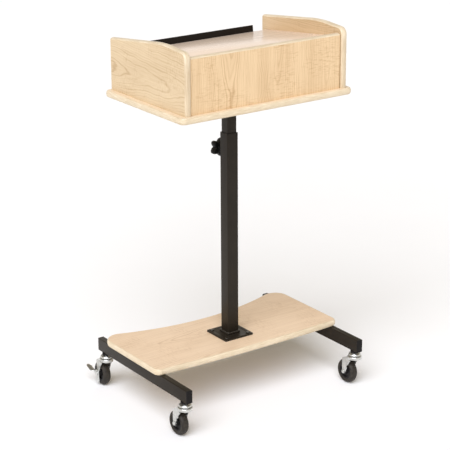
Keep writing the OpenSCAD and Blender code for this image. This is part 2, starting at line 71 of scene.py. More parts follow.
class Recipe:
    """A material's nodes, built by short calls that each return an output socket."""

    def __init__(self, name):
        self.material = bpy.data.materials.new(name)
        self.material.use_nodes = True
        self.tree = self.material.node_tree
        self.tree.nodes.clear()
        output = self.tree.nodes.new("ShaderNodeOutputMaterial")
        self.shader = self.tree.nodes.new("ShaderNodeBsdfPrincipled")
        self.tree.links.new(self.shader.outputs["BSDF"], output.inputs["Surface"])
        self.place = self.add("ShaderNodeTexCoord").outputs["Object"]

    def add(self, kind, inputs=None, **settings):
        node = self.tree.nodes.new(kind)
        for key, value in settings.items():
            setattr(node, key, value)
        for key, value in (inputs or {}).items():
            self.feed(node.inputs[key], value)
        return node

    def feed(self, socket, value):
        if isinstance(value, bpy.types.NodeSocket):
            self.tree.links.new(value, socket)
        else:
            socket.default_value = value

    def surface(self, **values):
        for key, value in values.items():
            self.feed(self.shader.inputs[key.replace("_", " ")], value)

    def calc(self, operation, *values):
        return self.add(
            "ShaderNodeMath", dict(enumerate(values)), operation=operation
        ).outputs[0]

    def stretch(self, scale, place=None, shift=(0, 0, 0)):
        inputs = {"Vector": place or self.place, "Scale": scale, "Location": shift}
        return self.add("ShaderNodeMapping", inputs).outputs[0]

    def join(self, x, y, z=0.0):
        return self.add("ShaderNodeCombineXYZ", {"X": x, "Y": y, "Z": z}).outputs[0]

    def noise(self, place, scale, detail=2.0, roughness=0.5):
        inputs = {
            "Vector": place,
            "Scale": scale,
            "Detail": detail,
            "Roughness": roughness,
        }
        return self.add("ShaderNodeTexNoise", inputs).outputs[0]

    def remap(self, value, from_low, from_high, to_low=0.0, to_high=1.0):
        inputs = {
            "Value": value,
            "From Min": from_low,
            "From Max": from_high,
            "To Min": to_low,
            "To Max": to_high,
        }
        return self.add("ShaderNodeMapRange", inputs).outputs[0]

    def blend(self, share, first, second):
        inputs = {0: share, 6: first, 7: second}
        return self.add("ShaderNodeMix", inputs, data_type="RGBA").outputs[2]

    def bump(self, height, depth, normal=None):
        inputs = {"Height": height, "Distance": depth, "Strength": 1.0}
        if normal:
            inputs["Normal"] = normal
        return self.add("ShaderNodeBump", inputs).outputs[0]


def colour(red, green, blue):
    return (red, green, blue, 1.0)


def maple(name, axes, seed, middle, pale, dark, gloss=0.36, contrast=1.0, shine=0.4, under=None):
    """Maple laminate. axes names the coordinates across and along the grain.

    middle is where, across and along, the first leaf of the veneer has its middle. Below the height
    under, the board is painted dark brown: painted shade on its underside, which darkens the
    shadow beneath it.
    """
    leaf_width, ring_pitch = 0.17, 0.0058
    recipe = Recipe(name)
    parts = recipe.add("ShaderNodeSeparateXYZ", {"Vector": recipe.place}).outputs
    across, along = (parts[axis] for axis in axes)
    flat = recipe.join(across, along, seed)

    # Each leaf is cut across growth rings that lean a little along the grain, which gives nested
    # narrow arches down its middle and closer, straighter lines at its sides.
    wander = recipe.calc("SUBTRACT", recipe.noise(recipe.stretch((8, 5, 1), flat), 1, 3), 0.5)
    drifted = recipe.calc("MULTIPLY_ADD", wander, 0.045, across)
    leaf = recipe.calc("DIVIDE", recipe.calc("SUBTRACT", drifted, middle[0]), leaf_width)
    leaf = recipe.calc("ADD", leaf, 0.5)
    offset = recipe.calc("SUBTRACT", recipe.calc("FRACT", leaf), 0.5)
    offset = recipe.calc("MULTIPLY", offset, leaf_width)
    number = recipe.calc("FLOOR", leaf)
    fate = recipe.add(
        "ShaderNodeTexWhiteNoise", {"W": recipe.calc("ADD", number, seed)},
        noise_dimensions="1D",
    ).outputs["Value"]
    reach = recipe.calc("SUBTRACT", along, middle[1])
    reach = recipe.calc("SUBTRACT", reach, recipe.remap(fate, 0, 1, -0.24, 0.24))
    ripple = recipe.calc("SUBTRACT", recipe.noise(recipe.stretch((34, 10, 1), flat), 1, 2), 0.5)
    depth = recipe.calc("MULTIPLY_ADD", ripple, 0.013, recipe.calc("MULTIPLY", reach, 0.085))
    ring = recipe.calc("SQRT", recipe.calc(
        "ADD", recipe.calc("MULTIPLY", offset, offset), recipe.calc("MULTIPLY", depth, depth)
    ))
    wave = recipe.calc("SINE", recipe.calc("MULTIPLY", ring, TAU / ring_pitch))
    line = recipe.calc("POWER", recipe.calc("MULTIPLY_ADD", wave, 0.5, 0.5), 4.0)
    strength = recipe.noise(recipe.join(recipe.calc("MULTIPLY", ring, 60), number), 1, 2)
    line = recipe.calc("MULTIPLY", line, recipe.remap(strength, 0.4, 0.6))

    streak = recipe.noise(recipe.stretch((260, 6, 1), flat), 1, 3, 0.65)
    pore = recipe.noise(recipe.stretch((900, 70, 1), flat), 1, 2)
    patch = recipe.remap(recipe.noise(recipe.stretch((11, 14, 1), flat), 1, 1), 0.42, 0.6)
    fleck = recipe.remap(recipe.noise(recipe.stretch((60, 330, 1), flat), 1, 2), 0.5, 0.68)
    cloud = recipe.noise(recipe.stretch((14, 5, 1), flat), 1, 3)

    shade = recipe.calc("MULTIPLY", line, 0.52)
    shade = recipe.calc("MULTIPLY_ADD", recipe.calc("SUBTRACT", streak, 0.45), 0.72, shade)
    shade = recipe.calc("MULTIPLY_ADD", recipe.calc("MULTIPLY", fleck, patch), 0.38, shade)
    shade = recipe.calc("MULTIPLY_ADD", recipe.remap(pore, 0.58, 0.72), 0.14, shade)
    shade = recipe.calc("MULTIPLY_ADD", recipe.calc("SUBTRACT", cloud, 0.45), 0.7, shade)
    shade = recipe.calc("MULTIPLY_ADD", shade, contrast, 0.2)
    face = recipe.blend(recipe.remap(shade, 0.0, 1.0), colour(*pale), colour(*dark))
    if under is not None:
        # Painted shade: dark brown below the height under, so the underside throws back less light into the shadow
        # beneath.
        shade_sheet_mask = recipe.calc("LESS_THAN", parts["Z"], under)
        face = recipe.blend(shade_sheet_mask, face, colour(0.30, 0.17, 0.06))
    relief = recipe.calc("MULTIPLY_ADD", pore, 0.5, streak)
    recipe.surface(
        Base_Color=face,
        Roughness=recipe.remap(shade, 0.0, 1.0, gloss - 0.03, gloss + 0.05),
        Normal=recipe.bump(relief, 0.00004),
        Specular_IOR_Level=shine,
    )
    return recipe.material


def edge_band(name, axes, fade=None):
    """The rounded band: pale, washed-out maple with fine streaks along it, where axes has ones.

    fade is (low, high): below those heights the band is painted darker, near the tone of the
    boards' faces: painted shade on its upright runs, so that the top run, where the light falls,
    is the brighter.
    """
    recipe = Recipe(name)
    fine = recipe.noise(recipe.stretch(tuple(30 if a else 700 for a in axes)), 1, 3, 0.65)
    soft = recipe.noise(recipe.place, 26, 2)
    shade = recipe.calc("MULTIPLY_ADD", recipe.calc("SUBTRACT", soft, 0.5), 0.3, fine)
    shade = recipe.remap(shade, 0.32, 0.7)
    tone = recipe.blend(shade, colour(0.77, 0.66, 0.49), colour(0.58, 0.46, 0.30))
    if fade:
        height = recipe.add("ShaderNodeSeparateXYZ", {"Vector": recipe.place}).outputs["Z"]
        # Painted shade: a darker tone for the band below the fade heights.
        lower = recipe.blend(shade, colour(0.70, 0.58, 0.41), colour(0.53, 0.40, 0.25))
        tone = recipe.blend(recipe.remap(height, *fade), lower, tone)
    recipe.surface(
        Base_Color=tone,
        Roughness=recipe.remap(fine, 0.3, 0.7, 0.3, 0.4),
        Normal=recipe.bump(fine, 0.00004),
        Specular_IOR_Level=0.45,
    )
    return recipe.material


def powder_coat(name, rough=0.36, shine=0.16):
    """Brown-black powder coat: a fine orange peel, and a little dust in its gloss."""
    recipe = Recipe(name)
    peel = recipe.noise(recipe.place, 900, 2)
    cloud = recipe.noise(recipe.place, 14, 4, 0.6)
    speck = recipe.noise(recipe.place, 2600, 1)
    tone = recipe.blend(
        recipe.remap(cloud, 0.3, 0.7), colour(0.016, 0.012, 0.008), colour(0.022, 0.017, 0.0115)
    )
    tone = recipe.blend(recipe.remap(speck, 0.68, 0.76), tone, colour(0.06, 0.05, 0.042))
    recipe.surface(
        Base_Color=tone,
        Roughness=recipe.remap(cloud, 0.3, 0.7, rough - 0.05, rough + 0.05),
        Normal=recipe.bump(peel, 0.00009),
        Specular_IOR_Level=shine,
    )
    return recipe.material


def zinc_plate():
    """Bright zinc: blotches of passivation, and fine drawing marks down the pressings."""
    recipe = Recipe("zinc_plate")
    blotch = recipe.noise(recipe.place, 90, 4, 0.6)
    mark = recipe.noise(recipe.stretch((900, 900, 60)), 1, 3)
    tone = recipe.blend(
        recipe.remap(blotch, 0.35, 0.68), colour(0.70, 0.70, 0.68), colour(0.56, 0.57, 0.55)
    )
    rough = recipe.calc("MULTIPLY_ADD", mark, 0.14, recipe.remap(blotch, 0.3, 0.7, 0.24, 0.34))
    recipe.surface(
        Base_Color=tone, Metallic=1.0, Roughness=rough, Normal=recipe.bump(mark, 0.00003)
    )
    return recipe.material


def rubber():
    """Grey-black tyre rubber, with dustier patches at random."""
    recipe = Recipe("tyre_rubber")
    grain = recipe.noise(recipe.place, 1400, 3, 0.6)
    scuff = recipe.noise(recipe.place, 120, 4, 0.65)
    tone = recipe.blend(
        recipe.remap(scuff, 0.4, 0.75), colour(0.016, 0.013, 0.010), colour(0.046, 0.038, 0.028)
    )
    recipe.surface(
        Base_Color=tone,
        Roughness=recipe.remap(scuff, 0.3, 0.7, 0.48, 0.66),
        Normal=recipe.bump(grain, 0.00008),
        Specular_IOR_Level=0.3,
    )
    return recipe.material


def moulded_black(name, base, rough):
    """Moulded plastic with a fine spark texture."""
    recipe = Recipe(name)
    spark = recipe.noise(recipe.place, 1700, 2)
    cloud = recipe.noise(recipe.place, 60, 3)
    lifted = tuple(1.5 * c for c in base)
    tone = recipe.blend(recipe.remap(cloud, 0.3, 0.75), colour(*base), colour(*lifted))
    recipe.surface(
        Base_Color=tone,
        Roughness=recipe.remap(cloud, 0.3, 0.7, rough - 0.05, rough + 0.05),
        Normal=recipe.bump(spark, 0.0001),
        Specular_IOR_Level=0.15,
    )
    return recipe.material


def black_extrusion():
    """Black-coated aluminium angle, with draw lines along X."""
    recipe = Recipe("black_extrusion")
    drawn = recipe.noise(recipe.stretch((14, 1400, 1400)), 1, 3, 0.6)
    tone = recipe.blend(
        recipe.remap(drawn, 0.3, 0.7), colour(0.008, 0.006, 0.005), colour(0.015, 0.012, 0.010)
    )
    recipe.surface(
        Base_Color=tone,
        Roughness=recipe.remap(drawn, 0.3, 0.7, 0.3, 0.42),
        Normal=recipe.bump(drawn, 0.00004),
        Specular_IOR_Level=0.1,
    )
    return recipe.material


PALE_MAPLE = (0.785, 0.588, 0.361)
DARK_MAPLE = (0.50, 0.32, 0.16)
SIDE_PALE = (0.715, 0.565, 0.365)
SIDE_DARK = (0.465, 0.315, 0.165)
# Shelf maple: partly its own tone, partly painted sheen of the white surroundings, paler and pinker.
PINK_PALE = (0.86, 0.67, 0.48)
PINK_DARK = (0.60, 0.41, 0.25)
# Painted shade: a darker copy of the side maple, for the right panel, whose inner face lies in shade.
RIGHT_PALE = (0.66, 0.49, 0.30)
RIGHT_DARK = (0.45, 0.30, 0.15)
CREAM_PALE = (0.84, 0.70, 0.52)
CREAM_DARK = (0.68, 0.52, 0.35)
# Worktop laminate: its own pinkish white, made paler still as painted sheen, with less specular.
WHITE_PALE = (0.93, 0.77, 0.63)
WHITE_DARK = (0.76, 0.58, 0.44)

MATERIALS = {
    "face_front": maple("maple_front", "XZ", 0.37, (-0.13, 1.0), PALE_MAPLE, DARK_MAPLE),
    "face_side": maple("maple_side", "ZY", 2.11, (1.01, 0.19), SIDE_PALE, SIDE_DARK),
    "face_shelf": maple(
        "maple_shelf", "YX", 4.73, (0.03, 0.1), PINK_PALE, PINK_DARK, contrast=0.85,
        # painted shade: the shelf's underside is dark brown, to darken the shadow on the floor beneath
        under=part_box("base_shelf")[0].z + 0.3 * MM,
    ),
    "face_right": maple("maple_right_shaded", "ZY", 5.43, (0.99, -0.1), RIGHT_PALE, RIGHT_DARK),
    "face_tray": maple("maple_tray", "YX", 6.29, (0.0, 0.0), CREAM_PALE, CREAM_DARK),
    "face_worktop": maple(
        "maple_worktop", "YX", 8.05, (0.0, 0.0), WHITE_PALE, WHITE_DARK, 0.27, 0.5, 0.3
    ),
    "band_flat": edge_band("edge_band_flat", (1, 1, 0)),
    "band_side": edge_band(
        "edge_band_side", (0, 1, 1),
        # painted shade on the band below the front panel's top
        (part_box("front_panel")[1].z - 45 * MM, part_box("front_panel")[1].z - 5 * MM),
    ),
    "band_front": edge_band("edge_band_front", (1, 0, 0)),
    "powder": powder_coat("powder_coat"),
    "powder_gloss": powder_coat("powder_coat_gloss", 0.2, 0.8),
    "zinc": zinc_plate(),
    "rubber": rubber(),
    "plastic": moulded_black("black_plastic", (0.007, 0.006, 0.006), 0.42),
    "knob": moulded_black("knob_plastic", (0.006, 0.006, 0.006), 0.34),
    "hub": moulded_black("hub_plastic", (0.012, 0.011, 0.011), 0.4),
    "extrusion": black_extrusion(),
    # Dark joint: partly a glue line, partly painted shade in the gap beside the side panels.
    "joint": moulded_black("joint_line_and_shade", (0.17, 0.10, 0.05), 0.6),
}


# ---- mesh helpers ---------------------------------------------------------------------------


def piece(
    name, points, faces, body, materials, replaces=(), sharp=35, place=None, weld=0.0
):
    """A new piece from a mesh, riding on its body and standing for the CAD nodes it replaces.

    Edges that turn by more than sharp degrees stay crisp. weld joins points closer than that.
    """
    mesh = bpy.data.meshes.new(name)
    mesh.from_pydata([tuple(p) for p in points], [], faces)
    if place:
        mesh.transform(place)
    made = bpy.data.objects.new(name, mesh)
    bpy.context.scene.collection.objects.link(made)
    for key in materials:
        mesh.materials.append(MATERIALS[key])
    shape = bmesh.new()
    shape.from_mesh(mesh)
    if weld:
        bmesh.ops.remove_doubles(shape, verts=shape.verts, dist=weld)
    bmesh.ops.recalc_face_normals(shape, faces=shape.faces)
    shape.to_mesh(mesh)
    shape.free()
    mesh.shade_smooth()
    mesh.set_sharp_from_angle(angle=math.radians(sharp))
    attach(made, body)
    if replaces:
        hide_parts(*replaces)
    return made


def painted(node, material):
    """A CAD node that is shown as it is, in a finished material."""
    mesh = frame["nodes"][node].data
    mesh.materials.clear()
    mesh.materials.append(MATERIALS[material])


def eased(node, material, width, steps=2, corner=28):
    """A CAD node's own shape with its sharp edges rounded, as a piece that stands for it."""
    shape = bmesh.new()
    shape.from_mesh(frame["nodes"][node].data)
    bmesh.ops.remove_doubles(shape, verts=shape.verts, dist=0.002 * MM)
    bmesh.ops.dissolve_limit(
        shape, angle_limit=math.radians(0.5), verts=shape.verts, edges=shape.edges
    )
    sharp = [
        edge
        for edge in shape.edges
        if len(edge.link_faces) == 2 and edge.calc_face_angle(0) > math.radians(corner)
    ]
    bmesh.ops.bevel(
        shape, geom=sharp, offset=width, segments=steps, profile=0.5,
        affect="EDGES", clamp_overlap=True,
    )
    mesh = bpy.data.meshes.new(node + "_eased")
    shape.to_mesh(mesh)
    shape.free()
    mesh.materials.clear()
    mesh.materials.append(MATERIALS[material])
    for face in mesh.polygons:
        face.material_index = 0
    mesh.shade_smooth()
    mesh.set_sharp_from_angle(angle=SHARP)
    made = bpy.data.objects.new(node + "_finish", mesh)
    bpy.context.scene.collection.objects.link(made)
    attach(made, BODY_OF[node])
    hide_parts(node)


def rounded(points, steps=5):
    """A polyline of (x, y, radius) with each corner turned into an arc of that radius."""
    line = []
    for i, (x, y, radius) in enumerate(points):
        here = Vector((x, y))
        if not radius or i in (0, len(points) - 1):
            line.append(here)
            continue
        back = (Vector(points[i - 1][:2]) - here).normalized()
        ahead = (Vector(points[i + 1][:2]) - here).normalized()
        half = math.acos(max(-1.0, min(1.0, back.dot(ahead)))) / 2
        reach = radius / math.tan(half)
        start, end = here + back * reach, here + ahead * reach
        centre = here + (back + ahead).normalized() * (radius / math.sin(half))
        for step in range(steps + 1):
            spoke = (start - centre).slerp(end - centre, step / steps)
            line.append(centre + spoke.normalized() * radius)
    return line


def lathe(section, turns=64):
    """Turns a section of (radius, height) points about Z. A closed section makes a ring."""
    points, rings = [], []
    for radius, height in section:
        if radius == 0:
            rings.append([len(points)] * turns)
            points.append((0, 0, height))
            continue
        rings.append(list(range(len(points), len(points) + turns)))
        for k in range(turns):
            angle = TAU * k / turns
            points.append((radius * math.cos(angle), radius * math.sin(angle), height))
    faces = []
    for lower, upper in zip(rings, rings[1:] + rings[:1]):
        for k in range(turns):
            after = (k + 1) % turns
            corners = [lower[k], lower[after], upper[after], upper[k]]
            unique = list(dict.fromkeys(corners))
            if len(unique) > 2:
                faces.append(unique)
    return points, faces


def outline_of(node, axis, side):
    """The outer loop, in order, of a CAD board's flat face at that end of that axis."""
    mesh = frame["nodes"][node].data
    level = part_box(node)[side][axis]
    used, place = {}, {}
    for face in mesh.polygons:
        corners = [mesh.vertices[v].co for v in face.vertices]
        if any(abs(c[axis] - level) > 0.01 * MM for c in corners):
            continue
        keys = [tuple(round(value, 6) for value in c) for c in corners]
        place.update(zip(keys, (c.copy() for c in corners)))
        for a, b in zip(keys, keys[1:] + keys[:1]):
            used[frozenset((a, b))] = used.get(frozenset((a, b)), 0) + 1
    links = {}
    for edge in (edge for edge, count in used.items() if count == 1):
        a, b = edge
        links.setdefault(a, []).append(b)
        links.setdefault(b, []).append(a)
    loops = []
    while links:
        start = next(iter(links))
        loop, here = [start], start
        while links.get(here):
            ahead = links[here].pop()
            links[ahead].remove(here)
            if ahead == start:
                break
            loop.append(ahead)
            here = ahead
        loops.append(loop)
        links = {key: ends for key, ends in links.items() if ends}
    longest = max(loops, key=lambda loop: sum(
        (Vector(a) - Vector(b)).length for a, b in zip(loop, loop[1:] + loop[:1])
    ))
    return [place[key] for key in longest]


def without_straights(loop):
    """Drops points that lie on a straight run, so that each corner has only its own points."""
    kept = []
    for before, here, after in zip(loop[-1:] + loop[:-1], loop, loop[1:] + loop[:1]):
        first, second = here - before, after - here
        if first.length > 0.01 * MM and first.angle(second) > math.radians(0.05):
            kept.append(here)
    return kept


def outward(loop, axis):
    """The mitred outward direction at each point of a flat closed loop."""
    normal = Vector([float(i == axis) for i in range(3)])
    edges = [after - here for here, after in zip(loop, loop[1:] + loop[:1])]
    area = sum(a.cross(b).dot(normal) for a, b in zip(loop, loop[1:] + loop[:1]))
    turn = 1 if area > 0 else -1
    sides = [(edge.cross(normal) * turn).normalized() for edge in edges]
    found = []
    for before, after in zip(sides[-1:] + sides[:-1], sides):
        found.append((before + after) / (1 + before.dot(after)))
    return found


def nose(depth, thickness, power, steps=14):
    """Half a superellipse, (out, up) from the upper face round to the lower one."""
    profile = []
    for step in range(steps + 1):
        angle = math.pi * (0.5 - step / steps)
        out = depth * math.cos(angle) ** (2 / power) if step not in (0, steps) else 0.0
        up = math.copysign(abs(math.sin(angle)) ** (2 / power), angle) * thickness / 2
        profile.append((out, up))
    return profile


# ---- boards ---------------------------------------------------------------------------------


def band(name, core, trim, axis, materials, power=2.3, floor=None, upright=None):
    """The edge band round a board: a nose swept along the core's outline.

    floor leaves out the run along that height, where the board stands on another one. upright is
    (power, material index) for the runs that climb, where they differ from the rest; the material
    after that one is a dark joint line at their outer side, partly a glue line and partly painted
    shade in the gap there.
    """
    low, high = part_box(core)
    loop = without_straights(outline_of(core, axis, 1))
    ways = outward(loop, axis)
    depth = max(
        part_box(trim)[1][i] - high[i] for i in range(3) if i != axis
    )
    thickness = high[axis] - low[axis]
    middle = (low[axis] + high[axis]) / 2
    along = Vector([float(i == axis) for i in range(3)])
    closed = floor is None
    if not closed:
        at_floor = [abs(p.z - floor) < 0.05 * MM for p in loop]
        first = next(
            i for i in range(len(loop)) if at_floor[i] and not at_floor[(i + 1) % len(loop)]
        )
        order = [(first + i) % len(loop) for i in range(len(loop))]
        loop, ways = [loop[i] for i in order], [ways[i] for i in order]
        for i in (0, len(loop) - 1):
            sideways = Vector((ways[i].x, ways[i].y, 0))
            ways[i] = sideways.normalized()
    points, kinds = [], []
    for here, way in zip(loop, ways):
        climbing = upright is not None and abs(way.normalized().z) < 0.5
        shape = nose(depth, thickness, upright[0] if climbing else power)
        kinds.append(climbing)
        base = here + along * (middle - here[axis])
        points.extend(base + way * out + along * up for out, up in shape)
    size = len(nose(depth, thickness, power))
    faces, indices = [], []
    runs = range(len(loop)) if closed else range(len(loop) - 1)
    for i in runs:
        a, b = i * size, (i + 1) % len(loop) * size
        kind = upright[1] if upright and kinds[i] and kinds[(i + 1) % len(loop)] else 0
        for k in range(size):
            after = (k + 1) % size
            faces.append([a + k, b + k, b + after, a + after])
            # Painted shade and glue line: the joint material on the climbing runs' outer faces.
            indices.append(kind + 1 if kind and 0 < k < size - 2 else kind)
    if not closed:
        faces.append(list(range(size)))
        faces.append([(len(loop) - 1) * size + k for k in reversed(range(size))])
        indices += [0, 0]
    made = piece(
        name, points, faces, BODY_OF[trim], materials, [trim], sharp=50
    )
    for face, index in zip(made.data.polygons, indices):
        face.material_index = index


def boards():
    tray_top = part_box("tray_board")[1].z
    painted("base_shelf", "face_shelf")
    painted("tray_board", "face_tray")
    painted("front_panel", "face_front")
    band("shelf_edge_band", "base_shelf", "shelf_edge_trim", 2, ["band_flat"])
    band("tray_edge_band", "tray_board", "tray_edge_trim", 2, ["band_flat"])
    for side in ("left", "right"):
        painted(f"{side}_side_panel", "face_right" if side == "right" else "face_side")
        band(
            f"{side}_panel_edge_band", f"{side}_side_panel", f"{side}_panel_trim", 0,
            ["band_side"], floor=tray_top,
        )
    band(
        "front_panel_edge_band", "front_panel", "front_panel_trim", 1,
        ["band_front", "face_front", "joint"], floor=tray_top, upright=(9, 1),
    )
    eased("worktop", "face_worktop", 0.6 * MM)
    eased("worktop_cleats", "face_tray", 0.6 * MM)
    eased("book_stop", "extrusion", 0.7 * MM, 3)


# ---- steelwork ------------------------------------------------------------------------------


def steelwork():
    for node, width in {
        "left_leg": 0.2, "right_leg": 0.2, "base_plate": 0.5, "backing_plate": 0.4,
        "column_outer_tube": 0.25, "column_inner_tube": 0.2, "tray_mount_plate": 0.5,
        "clamp_nut": 0.5,
    }.items():
        eased(node, "powder", width * MM, 3)
    eased("column_foot_collar", "powder_gloss", 1.6 * MM, 3)
    eased("base_bolts", "powder_gloss", 0.9 * MM, 3)
    for node in ("shelf_screws", "mount_screws", "panel_screws", "base_nuts", "clamp_stud"):
        eased(node, "zinc", 0.4 * MM)
    for node in ("leg_end_caps", "caster_sockets", "guide_bushing", "clamp_pad",
                 "inner_tube_glide"):
        eased(node, "plastic", 0.5 * MM)
    eased("book_stop_screws", "extrusion", 0.4 * MM)
    painted("caster_ball_sets", "zinc")


def star_knob():
    """The clamp's five-lobed knob, thick in the middle and soft at every edge."""
    lobes, turn = 5, math.radians(139)
    low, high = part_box("clamp_knob")
    joint = Vector(JOINTS["clamp_turn"]["pos_m"])
    radius, boss_r, boss_l = 29 * MM, 11 * MM, 9 * MM
    back, front = low.y + boss_l, high.y
    half = (front - back) / 2
    section = [(0.0, -half)]
    for step in range(13):
        angle = math.pi * (step / 12 - 0.5)
        share = 0.82 + 0.18 * math.cos(angle) ** 0.8 if 0 < step < 12 else 0.82
        section.append((share, half * math.sin(angle)))
    section.append((0.45, half))
    section.append((0.38, half - 1.2 * MM))
    section.append((0.0, half - 1.2 * MM))
    turns = 120
    points, faces = lathe(section, turns)
    middle = (back + front) / 2
    placed = []
    for x, y, z in points:
        angle = math.atan2(y, x)
        reach = math.hypot(x, y)
        lobe = (0.5 + 0.5 * math.cos(lobes * (angle - turn))) ** 0.75
        pinch = 0.60 + 0.40 * lobe if reach > 0.5 else 1.0
        swell = radius * reach * pinch
        placed.append((
            joint.x + swell * math.cos(angle), middle + z, joint.z + swell * math.sin(angle)
        ))
    collar, ring = lathe([
        (boss_r - 0.6 * MM, -boss_l), (boss_r, -boss_l + 0.6 * MM), (boss_r, 2 * MM),
        (5.1 * MM, 2 * MM), (5.1 * MM, -boss_l),
    ], 48)
    start = len(placed)
    placed += [(joint.x + x, back + z, joint.z + y) for x, y, z in collar]
    faces += [[start + v for v in face] for face in ring]
    piece(
        "clamp_star_knob", placed, faces, "clamp_screw", ["knob"],
        ["clamp_knob"],
    )


# ---- casters --------------------------------------------------------------------------------


def caster_place(name):
    """The caster's own frame: origin on the floor under its stem, X along the axle, Y trailing."""
    swivel = Vector(JOINTS[f"{name}_swivel_turn"]["pos_m"])
    axle = Vector(JOINTS[f"{name}_wheel_roll"]["pos_m"])
    trail = Vector((axle.x - swivel.x, axle.y - swivel.y, 0))
    y = trail.normalized()
    x = y.cross(Vector((0, 0, 1)))
    place = Matrix((
        (x.x, y.x, 0, swivel.x), (x.y, y.y, 0, swivel.y), (0, 0, 1, 0), (0, 0, 0, 1)
    ))
    return place, trail.length, axle.z


def smooth(share):
    """Eases a share of 0 to 1 in and out."""
    return share * share * (3 - 2 * share)


def on_axle(place, trail, height):
    """The wheel's frame, with its own Z along the axle."""
    return place @ Matrix.Translation((0, trail, height)) @ Matrix.Rotation(
        math.radians(90), 4, "Y"
    )


def stem(name, place):
    """Turned stem with the upper cup of its ball race."""
    section = rounded([
        (0, 93.6 * MM, 0), (8.8 * MM, 93.6 * MM, 1 * MM), (8.8 * MM, 96.2 * MM, 1 * MM),
        (5.5 * MM, 96.2 * MM, 0), (5.5 * MM, 101 * MM, 0), (11 * MM, 101 * MM, 0),
        (12 * MM, 104 * MM, 0), (14 * MM, 104 * MM, 0), (15 * MM, 101.2 * MM, 0),
        (18.9 * MM, 100.6 * MM, 1 * MM), (18.9 * MM, 104 * MM, 1.8 * MM),
        (17 * MM, 106.9 * MM, 1.2 * MM), (14.4 * MM, 106.9 * MM, 1 * MM),
        (12.6 * MM, 104.9 * MM, 1 * MM), (9.6 * MM, 104.9 * MM, 0.8 * MM),
        (9.4 * MM, 107 * MM, 0.4 * MM),
        (8 * MM, 109 * MM, 0), (5.5 * MM, 109 * MM, 0), (5.5 * MM, 145.5 * MM, 0.8 * MM),
        (0, 146 * MM, 0),
    ])
    points, faces = lathe(section, 64)
    piece(
        f"{name}_ball_race", points, faces, "base", ["zinc"],
        [f"{name}_stem"], place=place,
    )


def fork(name, place, trail, axle_z):
    """The fork as one pressing: a dished crown whose skirt runs down into two tapered legs."""
    crown_r, crown_top, hole_r = 21.8 * MM, 98.8 * MM, 5.7 * MM
    face_x, sheet, tip_r = 16.9 * MM, 2.3 * MM, 6.5 * MM
    skirt, rear_skirt, bend_r = 9.6 * MM, 3.4 * MM, 3.2 * MM
    turns, bends, rows = 144, 4, 16
    leg_reach = math.radians(50)  # how far round the crown a leg goes, each way from its side
    rounding = 1e-9  # keeps the columns that stand exactly at a leg's edge in the leg
    flatten = 14 * MM  # the drop over which the round skirt becomes a flat leg

    # The leg's edge, in (y, z), from the skirt's front hem down round the axle and up behind.
    leg_path = rounded([
        (-14 * MM, crown_top - skirt, 0), (-9 * MM, crown_top - skirt - 1 * MM, 7 * MM),
        (8 * MM, 83 * MM, 14 * MM), (17 * MM, 62 * MM, 18 * MM),
        (trail - tip_r, 46 * MM, 20 * MM), (trail - tip_r, axle_z - tip_r, tip_r - 0.01 * MM),
        (trail + tip_r, axle_z - tip_r, tip_r - 0.01 * MM), (trail + tip_r, axle_z, 0),
        (trail + 7 * MM, 83 * MM, 9 * MM), (17 * MM, crown_top - 5 * MM, 0),
    ], 8)
    lengths = [0.0]
    for a, b in zip(leg_path, leg_path[1:]):
        lengths.append(lengths[-1] + (b - a).length)

    def on_path(share):
        goal = share * lengths[-1]
        for i in range(len(leg_path) - 1):
            if goal <= lengths[i + 1] + 1e-12:
                part = (goal - lengths[i]) / max(lengths[i + 1] - lengths[i], 1e-9)
                return leg_path[i].lerp(leg_path[i + 1], min(max(part, 0), 1))
        return leg_path[-1]

    # Each column of points runs out over the crown, round its bend and down to the hem below.
    points = []
    for k in range(turns):
        angle = TAU * k / turns
        cos, sin = math.cos(angle), math.sin(angle)
        cx, cy = crown_r * cos, crown_r * sin
        from_side = math.asin(sin)
        in_leg = abs(from_side) <= leg_reach + rounding
        for radius in (hole_r, 14 * MM):
            points.append((radius * cos, radius * sin, crown_top))
        for step in range(bends + 1):
            bend = math.pi / 2 * step / bends
            radius = crown_r - bend_r + bend_r * math.sin(bend)
            z = crown_top - bend_r + bend_r * math.cos(bend)
            points.append((radius * cos, radius * sin, z))
        start_z = crown_top - bend_r
        if in_leg:
            goal = on_path(0.5 + from_side / (2 * leg_reach))
        else:
            goal = Vector((cy, crown_top - (rear_skirt if sin > 0 else skirt)))
        for row in range(1, rows + 1):
            share = row / rows
            y = cy + (goal.x - cy) * share
            z = start_z + (goal.y - start_z) * share
            fall = smooth(min(1.0, (start_z - z) / flatten))
            x = cx + (math.copysign(face_x, cos) - cx) * fall if in_leg else cx
            points.append((x, y, z))
    size = 2 + bends + 1 + rows
    faces = []
    for k in range(turns):
        a, b = k * size, (k + 1) % turns * size
        for row in range(size - 1):
            faces.append([a + row, b + row, b + row + 1, a + row + 1])
    made = piece(
        f"{name}_fork_pressing", points, faces, BODY_OF[f"{name}_fork"],
        ["zinc"], [f"{name}_fork"], place=place, sharp=60,
    )
    wall = made.modifiers.new("wall", "SOLIDIFY")
    wall.thickness = sheet
    wall.offset = -1


def tyre(name, place):
    """Tyre with a crowned tread between two moulded lines, and a raised bead on each wall."""
    half, outer, inner = 12 * MM, 37.95 * MM, 25.05 * MM
    one_side = [
        (inner, 10.4 * MM, 0), (27.0 * MM, 10.9 * MM, 0.6 * MM), (29.6 * MM, half, 1.2 * MM),
        (33.2 * MM, half - 0.3 * MM, 4 * MM), (36.9 * MM, 6.4 * MM, 1.2 * MM),
        (36.6 * MM, 5.9 * MM, 0.2 * MM), (37.3 * MM, 5.4 * MM, 0.4 * MM), (outer, 1.0 * MM, 0),
    ]
    right = rounded(one_side)
    section = right + [Vector((p.x, -p.y)) for p in reversed(right)]
    points, faces = lathe(section, 96)
    piece(
        f"{name}_tyre_moulding", points, faces, BODY_OF[f"{name}_tyre"],
        ["rubber"], [f"{name}_tyre"], place=place,
    )


